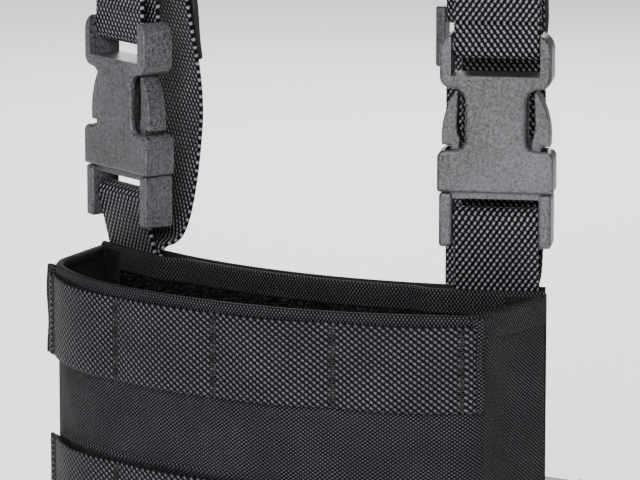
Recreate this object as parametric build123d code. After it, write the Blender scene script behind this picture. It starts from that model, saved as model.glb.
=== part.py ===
from build123d import *
from math import sin, cos, radians, degrees, sqrt
import os

# Adjustable chest harness vest: a curved front panel with an open-topped pouch, hung from two
# padded shoulder straps by side-release buckles and closed round the body by a waist belt.
# Row frame, millimetres: +Z up, the wearer faces -Y, +X is the wearer's left. The origin is midway
# between the undersides of the two shoulder pads at the top of their curve, where the vest hangs.

# Webbing and cloth
WEBBING = 25.0            # width of the one inch strap webbing
WEB = 1.4                 # its thickness
CLOTH = 1.2               # two plies of pack cloth at a seam
FIT = 0.1                 # gap between pieces that slide or lie on each other

# Panel against the chest, curved about a vertical axis
PANEL_TOP = -225.0
PANEL_HEIGHT = 150.0
PANEL_RADIUS = 160.0      # of the side against the body
PANEL_CENTRE_Y = 45.0
PANEL_HALF_ARC = 79.0
MESH = 1.2
SHELL = 0.8
FOAM = 3.8
LINING = 1.2
FOAM_TOP = 18.0           # the foam starts this far below the top edge, under the strap ends
FOAM_HALF_ARC = 58.0

# Pouch on the front of the panel
POUCH_DEPTH = 36.8
FRONT_RADIUS = 148.0
FRONT_HALF_ARC = 80.0
MOUTH_DROP = 1.0
CORNER_FLANGE = 3.0

# Ladder rows of webbing on the pouch front
ROW_DROP = 3.0
ROW_HEIGHT = 25.4
ROW_PITCH = 50.8
ROW_COUNT = 3
TACK_PITCH = 38.0
TACK_WIDTH = 2.4
TACK_PROUD = 0.6

# Shoulder straps at the panel
STRAP_X = 63.0
STRAP_Y = -102.0
STRAP_TURN = 22.7         # how far each strap faces outwards, degrees
SEWN_DEPTH = 15.0         # length of strap end inside the panel's top edge
SEAM_EASE = 0.7           # room between the flat strap end and the curved lining
BUCKLE_RISE = {"left": 31.5, "right": 26.5}   # housing's lower edge above the panel's top edge
ADJUSTER_RISE = 131.0     # middle bar of the front ladder lock above the panel's top edge
RUN_TOP = 126.0           # where the doubled run ends and the shoulder webbing starts
TAB_TOP = 150.0           # end of the short loop that holds the ladder lock

# Third length of webbing and the strip behind it, as (up, out) in a strap's frame
TAIL_POINTS = [(108, -2.6), (79, -7.6), (50, -13.6), (30, -12.0), (12, -8.6), (4.2, -4.5)]
TAIL_RADII = [60, 120, 40, 60, 22, 3.0, 2.0, 3.0]
FLAP_POINTS = [(148, -5.0), (124, -4.2), (108, -5.2), (79, -10.1), (60, -14.2)]
FLAP_RADII = [60, 60, 120]
FLAP_THICK = 2.4

# Side-release buckle, in its own frame: X across, Y towards the housing's webbing bar, Z out
BUCKLE_WIDTH = 34.6
BUCKLE_THICK = 11.0
BUCKLE_STANDOFF = 6.0     # middle plane of the buckle out from the strap plane
HOUSING_LENGTH = 47.3
BAND_HEIGHT = 12.5
WAIST_WIDTH = 18.0
FRAME_BASE = 31.0
FRAME_WIDTH = 33.2
SLOT_WIDTH = 26.4
SLOT_BASE = 34.8
BAR_RADIUS = 2.0
HOUSING_BAR = 43.0
THROAT_WIDTH = 30.2
THROAT_HEIGHT = 7.4
THROAT_DEPTH = 30.6
PLUG_BAR = -8.5
RAIL_END = -16.4
RAIL_WIDTH = 3.8
RAIL_THICK = 10.4
PLUG_WIDTH = 33.4
LATCH_HINGE = (11.8, 3.4)
WRAP = 2.9                # middle radius of webbing round a buckle bar

# Ladder lock
LOCK_WIDTH = 34.0
LOCK_THICK = 5.0
LOCK_BAR_RADIUS = 1.4
LOCK_BAR_PITCH = 12.5
LOCK_WRAP = 2.2

# Shoulder pads
PAD_WIDTH = 50.0
PAD_FOAM = 5.0
PAD_MESH = 3.0
CREST_X = 70.0
PAD_FIRST = 15.0          # the pad's ends, as angles round the shoulder from the front
PAD_LAST = 160.0

# Back of the harness and waist belt
REAR_TURN = 5.6
BELT_TOP = PANEL_TOP - 120.0
BELT_SEWN = 17.0          # length of belt end inside the panel's side edge
BELT_STRAIGHT = 30.0
BELT_SIDE_RADIUS = 105.0
REAR_LOCK_Z = -190.0
REAR_TAIL_Z = -300.0
WAIST_BUCKLE_X = -27.5    # housing's edge facing the plug, along the belt
BELT_END_GAP = 4.0        # from the belt's sewn end to where its side curve starts
CROSS_THETA = 142.0       # where the cross strap meets the pads, as an angle round the shoulder

SIDES = {"left": 1, "right": -1}          # the wearer's sides
MESH_FACE = PANEL_RADIUS
SHELL_FACE = MESH_FACE + MESH
FOAM_FACE = SHELL_FACE + SHELL
LINING_FACE = FOAM_FACE + FOAM
INSIDE_FACE = LINING_FACE + LINING
PANEL_BOTTOM = PANEL_TOP - PANEL_HEIGHT
FRONT_INNER = FRONT_RADIUS - CLOTH
FRONT_CENTRE_Y = PANEL_CENTRE_Y - INSIDE_FACE - POUCH_DEPTH + FRONT_INNER
RUN_OUT = BUCKLE_STANDOFF + WRAP
RUN_IN = BUCKLE_STANDOFF - WRAP
nodes = {}


def arc_degrees(length, radius):
    """Angle that an arc of this length takes at this radius."""
    return degrees(length / radius)


def polar(centre_y, radius, angle):
    """Point on a circle about the vertical axis, its angle measured from the front to +X."""
    return (radius * sin(radians(angle)), centre_y - radius * cos(radians(angle)))


def curved_sheet(centre_y, inner, outer, start, end, z_low, z_high):
    """Sheet curved about a vertical axis between two radii, two angles and two heights."""
    middle = (start + end) / 2
    outline = Line(polar(centre_y, inner, start), polar(centre_y, outer, start))
    outline += ThreePointArc(*[polar(centre_y, outer, a) for a in (start, middle, end)])
    outline += Line(polar(centre_y, outer, end), polar(centre_y, inner, end))
    outline += ThreePointArc(*[polar(centre_y, inner, a) for a in (end, middle, start)])
    return extrude(Plane.XY.offset(z_low) * make_face(outline), amount=z_high - z_low)


def strap_plane(side):
    """Local frame of a shoulder strap: X across it, Y up from the panel's top edge, Z outwards."""
    turn = radians(STRAP_TURN) * side
    return Plane(origin=(STRAP_X * side, STRAP_Y, PANEL_TOP),
                 x_dir=(cos(turn), sin(turn), 0), z_dir=(sin(turn), -cos(turn), 0))


def rear_plane(side):
    """Local frame of a rear strap on the belt: X across it, Y up from the origin's height, Z out."""
    turn = radians(REAR_TURN) * side
    radius = BELT_SIDE_RADIUS + WEB / 2
    centre = belt_side_centre()
    return Plane(origin=(side * (centre[0] + radius * sin(radians(REAR_TURN))),
                         centre[1] + radius * cos(radians(REAR_TURN)), 0),
                 x_dir=(-cos(turn), sin(turn), 0), z_dir=(sin(turn), cos(turn), 0))


def waist_plane():
    """Local frame of the waist buckle: X up, Y along the belt to +X, Z out from the back."""
    centre = belt_side_centre()
    back_y = centre[1] + BELT_SIDE_RADIUS + WRAP
    return Plane(origin=(WAIST_BUCKLE_X, back_y, BELT_TOP - WEBBING / 2),
                 x_dir=(0, 0, 1), z_dir=(0, 1, 0))


def ribbon(path, thickness=WEB, width=WEBBING):
    """Flat strap whose edge follows a path drawn as (up, out) in a strap's local frame."""
    profile = trace(path, line_width=thickness)
    return extrude(Plane.YZ * profile, amount=width / 2, both=True)


def hairpin(bar, radius, start, end, over=True):
    """Path that runs to a bar, goes round it from the outer to the inner side, and comes back."""
    up, out = bar
    crown = up + radius if over else up - radius
    outer, inner = (up, out + radius), (up, out - radius)
    path = Line(start, outer)
    path += ThreePointArc(outer, (crown, out), inner)
    path += Line(inner, end)
    return path


# ---------------------------------------------------------------- panel

def build_panel():
    """Mesh, shell, foam and loop lining of the panel against the chest."""
    half = arc_degrees(PANEL_HALF_ARC, PANEL_RADIUS)
    foam_half = arc_degrees(FOAM_HALF_ARC, PANEL_RADIUS)

    def layer(inner, thickness, angle, top_gap, low_gap):
        return curved_sheet(PANEL_CENTRE_Y, inner, inner + thickness, -angle, angle,
                            PANEL_BOTTOM + low_gap, PANEL_TOP - top_gap)

    nodes["body_mesh"] = layer(MESH_FACE, MESH, half, 0, 0)
    nodes["back_shell"] = layer(SHELL_FACE, SHELL, half, 0, 0)
    nodes["panel_foam"] = layer(FOAM_FACE, FOAM, foam_half, FOAM_TOP, 2.0)
    nodes["loop_lining"] = layer(LINING_FACE, LINING, half, 0, 0)


def build_pouch():
    """Front wall, gussets, corner flanges and floor of the pouch."""
    half = arc_degrees(FRONT_HALF_ARC, FRONT_RADIUS)
    panel_half = arc_degrees(PANEL_HALF_ARC, PANEL_RADIUS)
    height = PANEL_HEIGHT - MOUTH_DROP
    front = curved_sheet(FRONT_CENTRE_Y, FRONT_INNER, FRONT_RADIUS, -half, half,
                         PANEL_BOTTOM, PANEL_TOP - MOUTH_DROP)
    nodes["pouch_front"] = front
    for name, side in SIDES.items():
        near = polar(FRONT_CENTRE_Y, FRONT_RADIUS - CLOTH / 2, side * half)
        far = polar(PANEL_CENTRE_Y, INSIDE_FACE, side * panel_half)
        strip = Plane.XY.offset(PANEL_BOTTOM) * trace(Line(near, far), line_width=CLOTH)
        gusset = extrude(strip, amount=height) - front - nodes["loop_lining"]
        nodes[f"gusset_{name}"] = gusset
        start = Vector(*polar(FRONT_CENTRE_Y, FRONT_RADIUS, side * half))
        outward = Vector(side * cos(radians(half)), sin(radians(half)))
        tip = start + outward * CORNER_FLANGE
        base = Plane.XY.offset(PANEL_TOP - ROW_DROP - ROW_HEIGHT)
        fold = base * trace(Line(start, tip), line_width=CLOTH)
        flange = extrude(fold, amount=ROW_HEIGHT + ROW_DROP - MOUTH_DROP) - front - gusset
        nodes[f"corner_flange_{name}"] = flange.solids().sort_by(SortBy.VOLUME)[-1]
    back = [polar(PANEL_CENTRE_Y, INSIDE_FACE, a) for a in (-panel_half, 0, panel_half)]
    face = [polar(FRONT_CENTRE_Y, FRONT_INNER, a) for a in (half, 0, -half)]
    outline = ThreePointArc(*back) + Line(back[2], face[0])
    outline += ThreePointArc(*face) + Line(face[2], back[0])
    floor = extrude(Plane.XY.offset(PANEL_BOTTOM) * make_face(outline), amount=CLOTH)
    for name in SIDES:
        floor = floor - nodes[f"gusset_{name}"]
    nodes["pouch_floor"] = floor.solids().sort_by(SortBy.VOLUME)[-1]


def build_rows():
    """Three rows of webbing across the pouch front and the bartacks that hold them."""
    half = arc_degrees(FRONT_HALF_ARC, FRONT_RADIUS)
    face = FRONT_RADIUS + WEB
    tacks = []
    for row in range(ROW_COUNT):
        top = PANEL_TOP - ROW_DROP - row * ROW_PITCH
        nodes[f"ladder_row_{row + 1}"] = curved_sheet(
            FRONT_CENTRE_Y, FRONT_RADIUS, face, -half, half, top - ROW_HEIGHT, top)
        for column in range(-2, 3):
            middle = arc_degrees(column * TACK_PITCH, FRONT_RADIUS)
            spread = arc_degrees(TACK_WIDTH / 2, FRONT_RADIUS)
            tacks.append(curved_sheet(FRONT_CENTRE_Y, face, face + TACK_PROUD, middle - spread,
                                      middle + spread, top - ROW_HEIGHT, top).solid())
    nodes["ladder_bartacks"] = Compound(children=tacks)


# ---------------------------------------------------------------- buckles

def buckle_housing():
    """Female half: a throat band, a narrow waist with open latch windows, and a webbing frame."""
    half_band, half_waist, half_frame = BUCKLE_WIDTH / 2, WAIST_WIDTH / 2, FRAME_WIDTH / 2
    band = Pos(0, BAND_HEIGHT / 2) * Rectangle(BUCKLE_WIDTH, BAND_HEIGHT)
    waist = Pos(0, (BAND_HEIGHT + FRAME_BASE) / 2) * Rectangle(WAIST_WIDTH, FRAME_BASE - BAND_HEIGHT)
    frame_height = HOUSING_LENGTH - FRAME_BASE
    frame = Pos(0, FRAME_BASE + frame_height / 2) * Rectangle(FRAME_WIDTH, frame_height)
    outline = band + waist + frame
    corners = {(half_waist, BAND_HEIGHT): 3.4, (half_waist, FRAME_BASE): 3.8,
               (half_band, BAND_HEIGHT): 2.4, (half_frame, FRAME_BASE): 3.6,
               (half_frame, HOUSING_LENGTH): 5.0, (half_band, 0): 0.8}
    for (x, y), radius in corners.items():
        picked = [v for v in outline.vertices() if abs(abs(v.X) - x) < 0.01 and abs(v.Y - y) < 0.01]
        outline = fillet(picked, radius)
    body = extrude(outline, amount=BUCKLE_THICK / 2, both=True)
    rims = body.edges().group_by(Axis.Z)
    body = fillet(rims[0] + rims[-1], 1.0)
    throat = Pos(0, THROAT_DEPTH / 2, 0) * Box(THROAT_WIDTH, THROAT_DEPTH, THROAT_HEIGHT)
    slot_height = HOUSING_LENGTH - SLOT_BASE + 2
    slot = Pos(0, SLOT_BASE + slot_height / 2, 0) * Box(SLOT_WIDTH, slot_height, BUCKLE_THICK + 2)
    bar = Pos(0, HOUSING_BAR, 0) * Rot(0, 90, 0) * Cylinder(BAR_RADIUS, SLOT_WIDTH + 1)
    return body - throat - slot + bar


def buckle_plug():
    """Male half: two rails with a webbing bar between them, a base in the throat and a guide."""
    rail_x = (PLUG_WIDTH - RAIL_WIDTH) / 2
    rail_top = -0.3
    rail = Box(RAIL_WIDTH, rail_top - RAIL_END, RAIL_THICK)
    rail = fillet(rail.edges(), 1.0)
    base = Pos(0, 0.4, 0) * Box(THROAT_WIDTH - 0.4, 4.8, THROAT_HEIGHT - 0.4)
    block = Pos(0, 5.8, 0) * Box(18.6, 6.4, THROAT_HEIGHT - 0.4)
    guide = Pos(0, 18.0, 0) * fillet(Box(7.0, 20.0, 3.0).edges().filter_by(Axis.Z), 1.4)
    bar = Pos(0, PLUG_BAR, 0) * Rot(0, 90, 0) * Cylinder(BAR_RADIUS, PLUG_WIDTH - 2 * RAIL_WIDTH + 2)
    body = base + block + guide + bar
    for side in (1, -1):
        body = body + Pos(side * rail_x, (rail_top + RAIL_END) / 2, 0) * rail
    return body


def latch_arm(side):
    """Sprung arm beside the guide: a slim stem in the throat and a crescent head in the window."""
    def p(x, y):
        return (side * x, y)

    outline = Polyline(p(11.2, 30.0), p(11.6, 20.0), p(11.2, 17.4), p(10.6, 15.6), p(10.6, 2.9),
                       p(13.2, 2.9), p(13.4, 13.9), p(16.0, 13.9))
    outline += ThreePointArc(p(16.0, 13.9), p(15.4, 22.6), p(11.9, 30.4))
    outline += Line(p(11.9, 30.4), p(11.2, 30.0))
    head = extrude(make_face(outline), amount=3.3, both=True)
    return fillet(head.edges().group_by(Axis.Z)[0] + head.edges().group_by(Axis.Z)[-1], 0.5)


def build_buckle(prefix, plane):
    """Housing, plug and two latch arms of one side-release buckle, placed in a frame."""
    nodes[f"{prefix}_housing"] = plane.location * buckle_housing()
    nodes[f"{prefix}_plug"] = plane.location * buckle_plug()
    nodes[f"{prefix}_latch_a"] = plane.location * latch_arm(1)
    nodes[f"{prefix}_latch_b"] = plane.location * latch_arm(-1)


def ladder_lock(middle_bar, out):
    """Ladder lock in a strap's local frame: two rails joined by three bars."""
    low, high = middle_bar - 6.0, middle_bar + LOCK_BAR_PITCH + 3.0
    rail_width = (LOCK_WIDTH - SLOT_WIDTH) / 2
    rail = fillet(Box(rail_width, high - low, LOCK_THICK).edges(), 0.9)
    body = Pos(0, low + 1.6, out) * Box(SLOT_WIDTH + 1, 2.4, 2.0)
    for bar in (middle_bar, middle_bar + LOCK_BAR_PITCH):
        body = body + Pos(0, bar, out) * Rot(0, 90, 0) * Cylinder(LOCK_BAR_RADIUS, SLOT_WIDTH + 1)
    for side in (1, -1):
        body = body + Pos(side * (LOCK_WIDTH - rail_width) / 2, (low + high) / 2, out) * rail
    return body


# ---------------------------------------------------------------- shoulder straps

def build_front_strap(name, side):
    """Everything between the panel and the shoulder pad on one side."""
    plane = strap_plane(side)
    rise = BUCKLE_RISE[name]
    seam_out = FOAM_FACE - PANEL_RADIUS + FOAM - WEB / 2 - SEAM_EASE
    tail_seam = seam_out - WEB - FIT
    bar = (rise + PLUG_BAR, BUCKLE_STANDOFF)
    merge = bar[0] - 9.0
    merge_out = seam_out + (RUN_OUT - seam_out) * merge / bar[0] - WEB - FIT
    lower = Line((-SEWN_DEPTH, seam_out), (0, seam_out))
    lower += hairpin(bar, WRAP, (0, seam_out), (merge, merge_out))
    nodes[f"{name}_lower_strap"] = plane.location * ribbon(lower)

    build_buckle(f"{name}_buckle", Plane(plane.location * Pos(0, rise, BUCKLE_STANDOFF)))

    run_bar = (rise + HOUSING_BAR, BUCKLE_STANDOFF)
    run = hairpin(run_bar, WRAP, (RUN_TOP, RUN_OUT), (RUN_TOP, RUN_IN), over=False)
    nodes[f"{name}_buckle_run"] = plane.location * ribbon(run)

    lock_out = RUN_IN - LOCK_WRAP
    nodes[f"{name}_ladder_lock"] = plane.location * ladder_lock(ADJUSTER_RISE, lock_out)

    tail_in = lock_out - LOCK_WRAP
    tail = Line((RUN_TOP, RUN_IN), (ADJUSTER_RISE, RUN_IN))
    crown = (ADJUSTER_RISE + LOCK_WRAP, lock_out)
    tail += ThreePointArc((ADJUSTER_RISE, RUN_IN), crown, (ADJUSTER_RISE, tail_in))
    hang = [(ADJUSTER_RISE, tail_in), *TAIL_POINTS, (3.6, tail_seam - 1.1), (-1.0, tail_seam),
            (-SEWN_DEPTH, tail_seam - 0.05)]
    tail += FilletPolyline(*hang, radius=TAIL_RADII)
    nodes[f"{name}_strap_tail"] = plane.location * ribbon(tail)

    flap = ribbon(FilletPolyline(*FLAP_POINTS, radius=FLAP_RADII), thickness=FLAP_THICK)
    nodes[f"{name}_chafe_flap"] = plane.location * flap

    top_bar = (ADJUSTER_RISE + LOCK_BAR_PITCH, lock_out)
    tab = hairpin(top_bar, LOCK_WRAP, (TAB_TOP, RUN_IN), (TAB_TOP, lock_out - LOCK_WRAP), over=False)
    nodes[f"{name}_lock_tab"] = plane.location * ribbon(tab)


def shoulder_station(theta, side):
    """Frame on the shoulder webbing's middle line, theta degrees round from the front."""
    front, rear = strap_plane(side), rear_plane(side)
    start = front.origin + front.z_dir * RUN_OUT
    end = rear.origin + rear.z_dir * (WEB / 2 + FIT + 2 * LOCK_WRAP)
    base = PANEL_TOP + RUN_TOP
    crest = PAD_FOAM + PAD_MESH + WEB / 2
    turn = radians(theta)
    near = start if theta <= 90 else end
    lean = near.X + (side * CREST_X - near.X) * sin(turn) ** 2
    point = Vector(lean, abs(near.Y) * -cos(turn), base + (crest - base) * sin(turn))
    facing = front.z_dir.X if theta <= 90 else rear.z_dir.X
    tilt = facing + (side * 0.12 - facing) * sin(turn) ** 2
    level = sqrt(1 - tilt * tilt)
    normal = Vector(tilt, -cos(turn) * level, sin(turn) * level)
    return point, normal


def over_shoulder(side, first, last, width, thickness, offset, steps=10):
    """Closed band that follows the shoulder, offset inwards from the webbing's middle line."""
    sections = []
    for i in range(steps + 1):
        theta = first + (last - first) * i / steps
        point, normal = shoulder_station(theta, side)
        ahead, _ = shoulder_station(min(theta + 0.5, 180), side)
        behind, _ = shoulder_station(max(theta - 0.5, 0), side)
        along = (ahead - behind).normalized()
        across = along.cross(normal).normalized()
        plane = Plane(origin=point - normal * offset, x_dir=across, z_dir=along)
        sections.append(plane * Rectangle(width, thickness))
    return loft(sections)


def build_shoulder(name, side):
    """Shoulder webbing, the padded band under it and that band's mesh."""
    nodes[f"{name}_shoulder_webbing"] = over_shoulder(side, 0, 180, WEBBING, WEB, 0, steps=12)
    gap = WEB / 2 + FIT
    nodes[f"{name}_shoulder_pad"] = over_shoulder(
        side, PAD_FIRST, PAD_LAST, PAD_WIDTH, PAD_FOAM, gap + PAD_FOAM / 2)
    nodes[f"{name}_pad_mesh"] = over_shoulder(
        side, PAD_FIRST, PAD_LAST, PAD_WIDTH - 2, PAD_MESH - 0.2, gap + PAD_FOAM + PAD_MESH / 2)


# ---------------------------------------------------------------- back and belt

def belt_start():
    """Where the belt leaves the panel's side edge, and its heading there."""
    angle = arc_degrees(PANEL_HALF_ARC, PANEL_RADIUS)
    radius = FOAM_FACE + FOAM / 2
    return polar(PANEL_CENTRE_Y, radius, angle), radians(angle)


def belt_side_centre():
    """Centre of the belt's curve round the wearer's side."""
    (x, y), heading = belt_start()
    x, y = x + BELT_STRAIGHT * cos(heading), y + BELT_STRAIGHT * sin(heading)
    return (x - BELT_SIDE_RADIUS * sin(heading), y + BELT_SIDE_RADIUS * cos(heading))


def belt_path():
    """Belt line on the +X side, from inside the panel's edge to where the back runs straight."""
    (x, y), heading = belt_start()
    radius = FOAM_FACE + FOAM / 2
    inside = arc_degrees(PANEL_HALF_ARC - BELT_SEWN, PANEL_RADIUS)
    half = arc_degrees(PANEL_HALF_ARC, PANEL_RADIUS)
    sewn = (inside, (inside + half) / 2, half)
    path = ThreePointArc(*[polar(PANEL_CENTRE_Y, radius, a) for a in sewn])
    leave = (x + BELT_STRAIGHT * cos(heading), y + BELT_STRAIGHT * sin(heading))
    path += Line((x, y), leave)
    centre_x, centre_y = belt_side_centre()
    bisector = (heading + radians(180)) / 2
    middle = (centre_x + BELT_SIDE_RADIUS * sin(bisector), centre_y - BELT_SIDE_RADIUS * cos(bisector))
    path += ThreePointArc(leave, middle, (centre_x, centre_y + BELT_SIDE_RADIUS))
    return path


def belt_band(path):
    """Belt webbing on edge, from a path drawn in plan."""
    plan = Plane.XY.offset(BELT_TOP - WEBBING) * trace(path, line_width=WEB)
    return extrude(plan, amount=WEBBING)


def build_belt():
    """Waist belt in three lengths, the buckle on the back and the keeper for the free end."""
    plane = waist_plane()
    build_buckle("waist_buckle", plane)
    back_x = belt_side_centre()[0]
    back_y = plane.origin.Y - WRAP
    outer_y = back_y + 2 * WRAP
    sewn_y = back_y + WEB + FIT
    housing_x = WAIST_BUCKLE_X + HOUSING_BAR
    plug_x = WAIST_BUCKLE_X + PLUG_BAR
    nodes["belt_left"] = belt_band(belt_path())

    end = Line((back_x, back_y), (housing_x, back_y))
    end += ThreePointArc((housing_x, back_y), (housing_x - WRAP, back_y + WRAP), (housing_x, outer_y))
    end += FilletPolyline((housing_x, outer_y), (housing_x + 12, outer_y), (housing_x + 23, sewn_y),
                          (back_x - BELT_END_GAP, sewn_y), radius=9)
    nodes["belt_end"] = belt_band(end)

    line = mirror(belt_path(), about=Plane.YZ)
    line += Line((-back_x, back_y), (plug_x, back_y))
    line += ThreePointArc((plug_x, back_y), (plug_x + WRAP, back_y + WRAP), (plug_x, outer_y))
    line += FilletPolyline((plug_x, outer_y), (plug_x - 4, outer_y), (plug_x - 11, sewn_y), radius=3)
    nodes["belt_right"] = belt_band(line)


def build_rear_strap(name, side):
    """Rear strap from the shoulder down to the belt, with its ladder lock and free end."""
    plane = rear_plane(side)
    inner = WEB / 2 + FIT
    bar_out = inner + LOCK_WRAP
    outer = inner + 2 * LOCK_WRAP
    drop_start = PANEL_TOP + RUN_TOP - FIT
    top_bar = (REAR_LOCK_Z + LOCK_BAR_PITCH, bar_out)
    drop = hairpin(top_bar, LOCK_WRAP, (drop_start, outer), (top_bar[0] + 26.0, inner), over=False)
    nodes[f"{name}_rear_drop"] = plane.location * ribbon(drop)
    nodes[f"{name}_rear_lock"] = plane.location * ladder_lock(REAR_LOCK_Z, bar_out)
    sewn_end = (BELT_TOP - WEBBING + 1.0, inner)
    strap = hairpin((REAR_LOCK_Z, bar_out), LOCK_WRAP, (REAR_TAIL_Z, outer), sewn_end)
    nodes[f"{name}_rear_strap"] = plane.location * ribbon(strap)


def build_cross_strap():
    """Strap across the upper back between the two shoulder pads."""
    point, normal = shoulder_station(CROSS_THETA, 1)
    seat = point - normal * (WEB / 2 + FIT + PAD_FOAM / 2)
    level = Vector(0, normal.Y, normal.Z).normalized()
    plane = Plane(origin=(0, seat.Y, seat.Z), x_dir=(1, 0, 0), z_dir=level)
    strap = plane * Box(2 * CREST_X, WEBBING, WEB)
    for name in SIDES:
        for piece in ("shoulder_pad", "pad_mesh", "shoulder_webbing"):
            strap = strap - nodes[f"{name}_{piece}"]
    middle = min(strap.solids(), key=lambda s: abs(s.center().X))
    nodes["cross_strap"] = middle


build_panel()
build_pouch()
build_rows()
for side_name, side_sign in SIDES.items():
    build_front_strap(side_name, side_sign)
    build_shoulder(side_name, side_sign)
    build_rear_strap(side_name, side_sign)
build_belt()
build_cross_strap()

os.makedirs("parts", exist_ok=True)
for node_name, shape in nodes.items():
    export_step(shape, f"parts/{node_name}.step")
print(len(nodes), "nodes written")
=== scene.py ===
"""Looks of a chest harness vest: cloth, webbing, pads, thread and moulded buckles round its frame."""

import logging
import math
import random
from dataclasses import dataclass
from enum import Enum
from typing import Callable, Sequence

import bpy
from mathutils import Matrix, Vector, noise


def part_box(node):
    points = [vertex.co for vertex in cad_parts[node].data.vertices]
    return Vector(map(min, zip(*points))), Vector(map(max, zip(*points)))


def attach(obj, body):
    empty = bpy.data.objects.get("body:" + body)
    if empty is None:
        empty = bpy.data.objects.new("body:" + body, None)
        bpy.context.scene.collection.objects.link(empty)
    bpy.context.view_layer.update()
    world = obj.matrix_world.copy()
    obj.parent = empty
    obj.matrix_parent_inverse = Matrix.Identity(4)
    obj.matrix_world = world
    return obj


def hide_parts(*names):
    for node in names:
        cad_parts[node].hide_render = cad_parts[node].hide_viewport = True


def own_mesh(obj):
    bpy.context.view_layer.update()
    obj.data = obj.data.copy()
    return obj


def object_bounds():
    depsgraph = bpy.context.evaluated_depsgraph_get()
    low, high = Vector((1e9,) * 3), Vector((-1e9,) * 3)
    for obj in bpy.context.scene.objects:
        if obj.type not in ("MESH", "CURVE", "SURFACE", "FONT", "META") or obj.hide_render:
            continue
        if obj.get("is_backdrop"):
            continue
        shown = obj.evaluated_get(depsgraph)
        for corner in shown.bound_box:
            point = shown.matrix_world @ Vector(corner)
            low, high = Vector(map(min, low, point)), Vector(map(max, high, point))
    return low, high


log = logging.getLogger("vest")

MM = 0.001                       # the scene is in metres, and the sizes below are in millimetres

WEBBING = 25.0                   # width of the strap webbing
WEB = 1.4                        # its thickness
ROW_HEIGHT = 25.4                # width of the ladder webbing
PANEL_TOP = -225.0
PANEL_HEIGHT = 150.0
PANEL_CENTRE_Y = 45.0
PANEL_RADIUS = 160.0             # of the side against the body
PANEL_HALF_ARC = 79.0
LINING_RADIUS = 166.4            # middle of the loop lining
FRONT_CENTRE_Y = -12.0
FRONT_RADIUS = 148.0             # outer face of the pouch front
FRONT_HALF_ARC = 80.0
DRAWN_BACK = 6.0                 # how far the pouch's right-hand corner is pulled towards the panel
DRAWN_FROM = 46.0                # arc from the middle where that pull starts
ROW_DROP = 3.0                   # first ladder row below the panel's top edge
ROW_PITCH = 50.8
PANEL_BOTTOM = PANEL_TOP - PANEL_HEIGHT
UP = Vector((0, 0, 1))


class Side(Enum):
    """The wearer's sides, with the sign of X on each."""

    LEFT = 1
    RIGHT = -1

    @property
    def label(self) -> str:
        """The side's name as the frame's nodes have it."""
        return self.name.lower()


# ---------------------------------------------------------------- curves and frames

def smoothstep(low: float, high: float, x: float) -> float:
    """Zero below low, one above high, and a smooth ramp between."""
    t = min(1.0, max(0.0, (x - low) / (high - low)))
    return t * t * (3 - 2 * t)


def polar(centre_y: float, radius: float, length: float, measured_at: float) -> Vector:
    """Point in plan on an arc about the vertical axis.

    Args:
        centre_y: the arc's centre on the Y axis.
        radius: the point's distance from the centre.
        length: arc length from the front, positive to +X.
        measured_at: radius at which that length is measured.

    Returns:
        The point, with its height left at zero.
    """
    angle = length / measured_at
    return Vector((radius * math.sin(angle), centre_y - radius * math.cos(angle), 0))


def front_point(arc: float, radius: float) -> Vector:
    """Point in plan on the pouch front, whose right-hand end is drawn back further than the left.

    Args:
        arc: length along the outer face from the middle, positive to the wearer's left.
        radius: distance from the front's centre.

    Returns:
        The point, with its height left at zero.
    """
    point = polar(FRONT_CENTRE_Y, radius, arc, FRONT_RADIUS)
    point.y += DRAWN_BACK * max(0.0, (-arc - DRAWN_FROM) / (FRONT_HALF_ARC - DRAWN_FROM)) ** 2
    return point


def hairpin(bar: tuple[float, float], radius: float, start: tuple[float, float], end: tuple[float, float],
            over: bool = True) -> list[tuple[float, float]]:
    """Line that runs to a bar, goes round it from the outer to the inner side, and comes back.

    Args:
        bar: the bar's (up, out) in a strap's frame.
        radius: middle radius of the webbing round the bar.
        start: first point, on the outer side.
        end: last point, on the inner side.
        over: whether the crown is above the bar.

    Returns:
        Points (up, out) along the line.
    """
    turn = 1 if over else -1
    arc = [(bar[0] + turn * radius * math.sin(a), bar[1] + radius * math.cos(a))
           for a in (math.pi * i / 14 for i in range(15))]
    return [start, *arc, end]


def eased(points: Sequence[tuple[float, float]], rounds: int = 4) -> list[tuple[float, float]]:
    """Control points' corners cut again and again, which gives a smooth line that keeps both ends.

    Args:
        points: the control points.
        rounds: how many times the corners are cut.

    Returns:
        The smooth line's points.
    """
    line = [Vector(p) for p in points]
    for _ in range(rounds):
        cut = [line[0]]
        for a, b in zip(line, line[1:]):
            cut += [a.lerp(b, 0.25), a.lerp(b, 0.75)]
        line = [*cut, line[-1]]
    return [tuple(p) for p in line]


@dataclass
class StrapFrame:
    """Local frame of a strap, in millimetres: across it, up along it, and out from the body."""

    origin: Vector
    across: Vector
    up: Vector
    out: Vector

    def point(self, across: float, up: float, out: float) -> Vector:
        """The point in the row frame, in millimetres."""
        return self.origin + self.across * across + self.up * up + self.out * out

    def course(self, line: Sequence[tuple[float, float]]) -> "Course":
        """The line, given as (up, out), as a course in the row frame."""
        return Course([self.point(0, v, w) for v, w in line], self.across)


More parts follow.
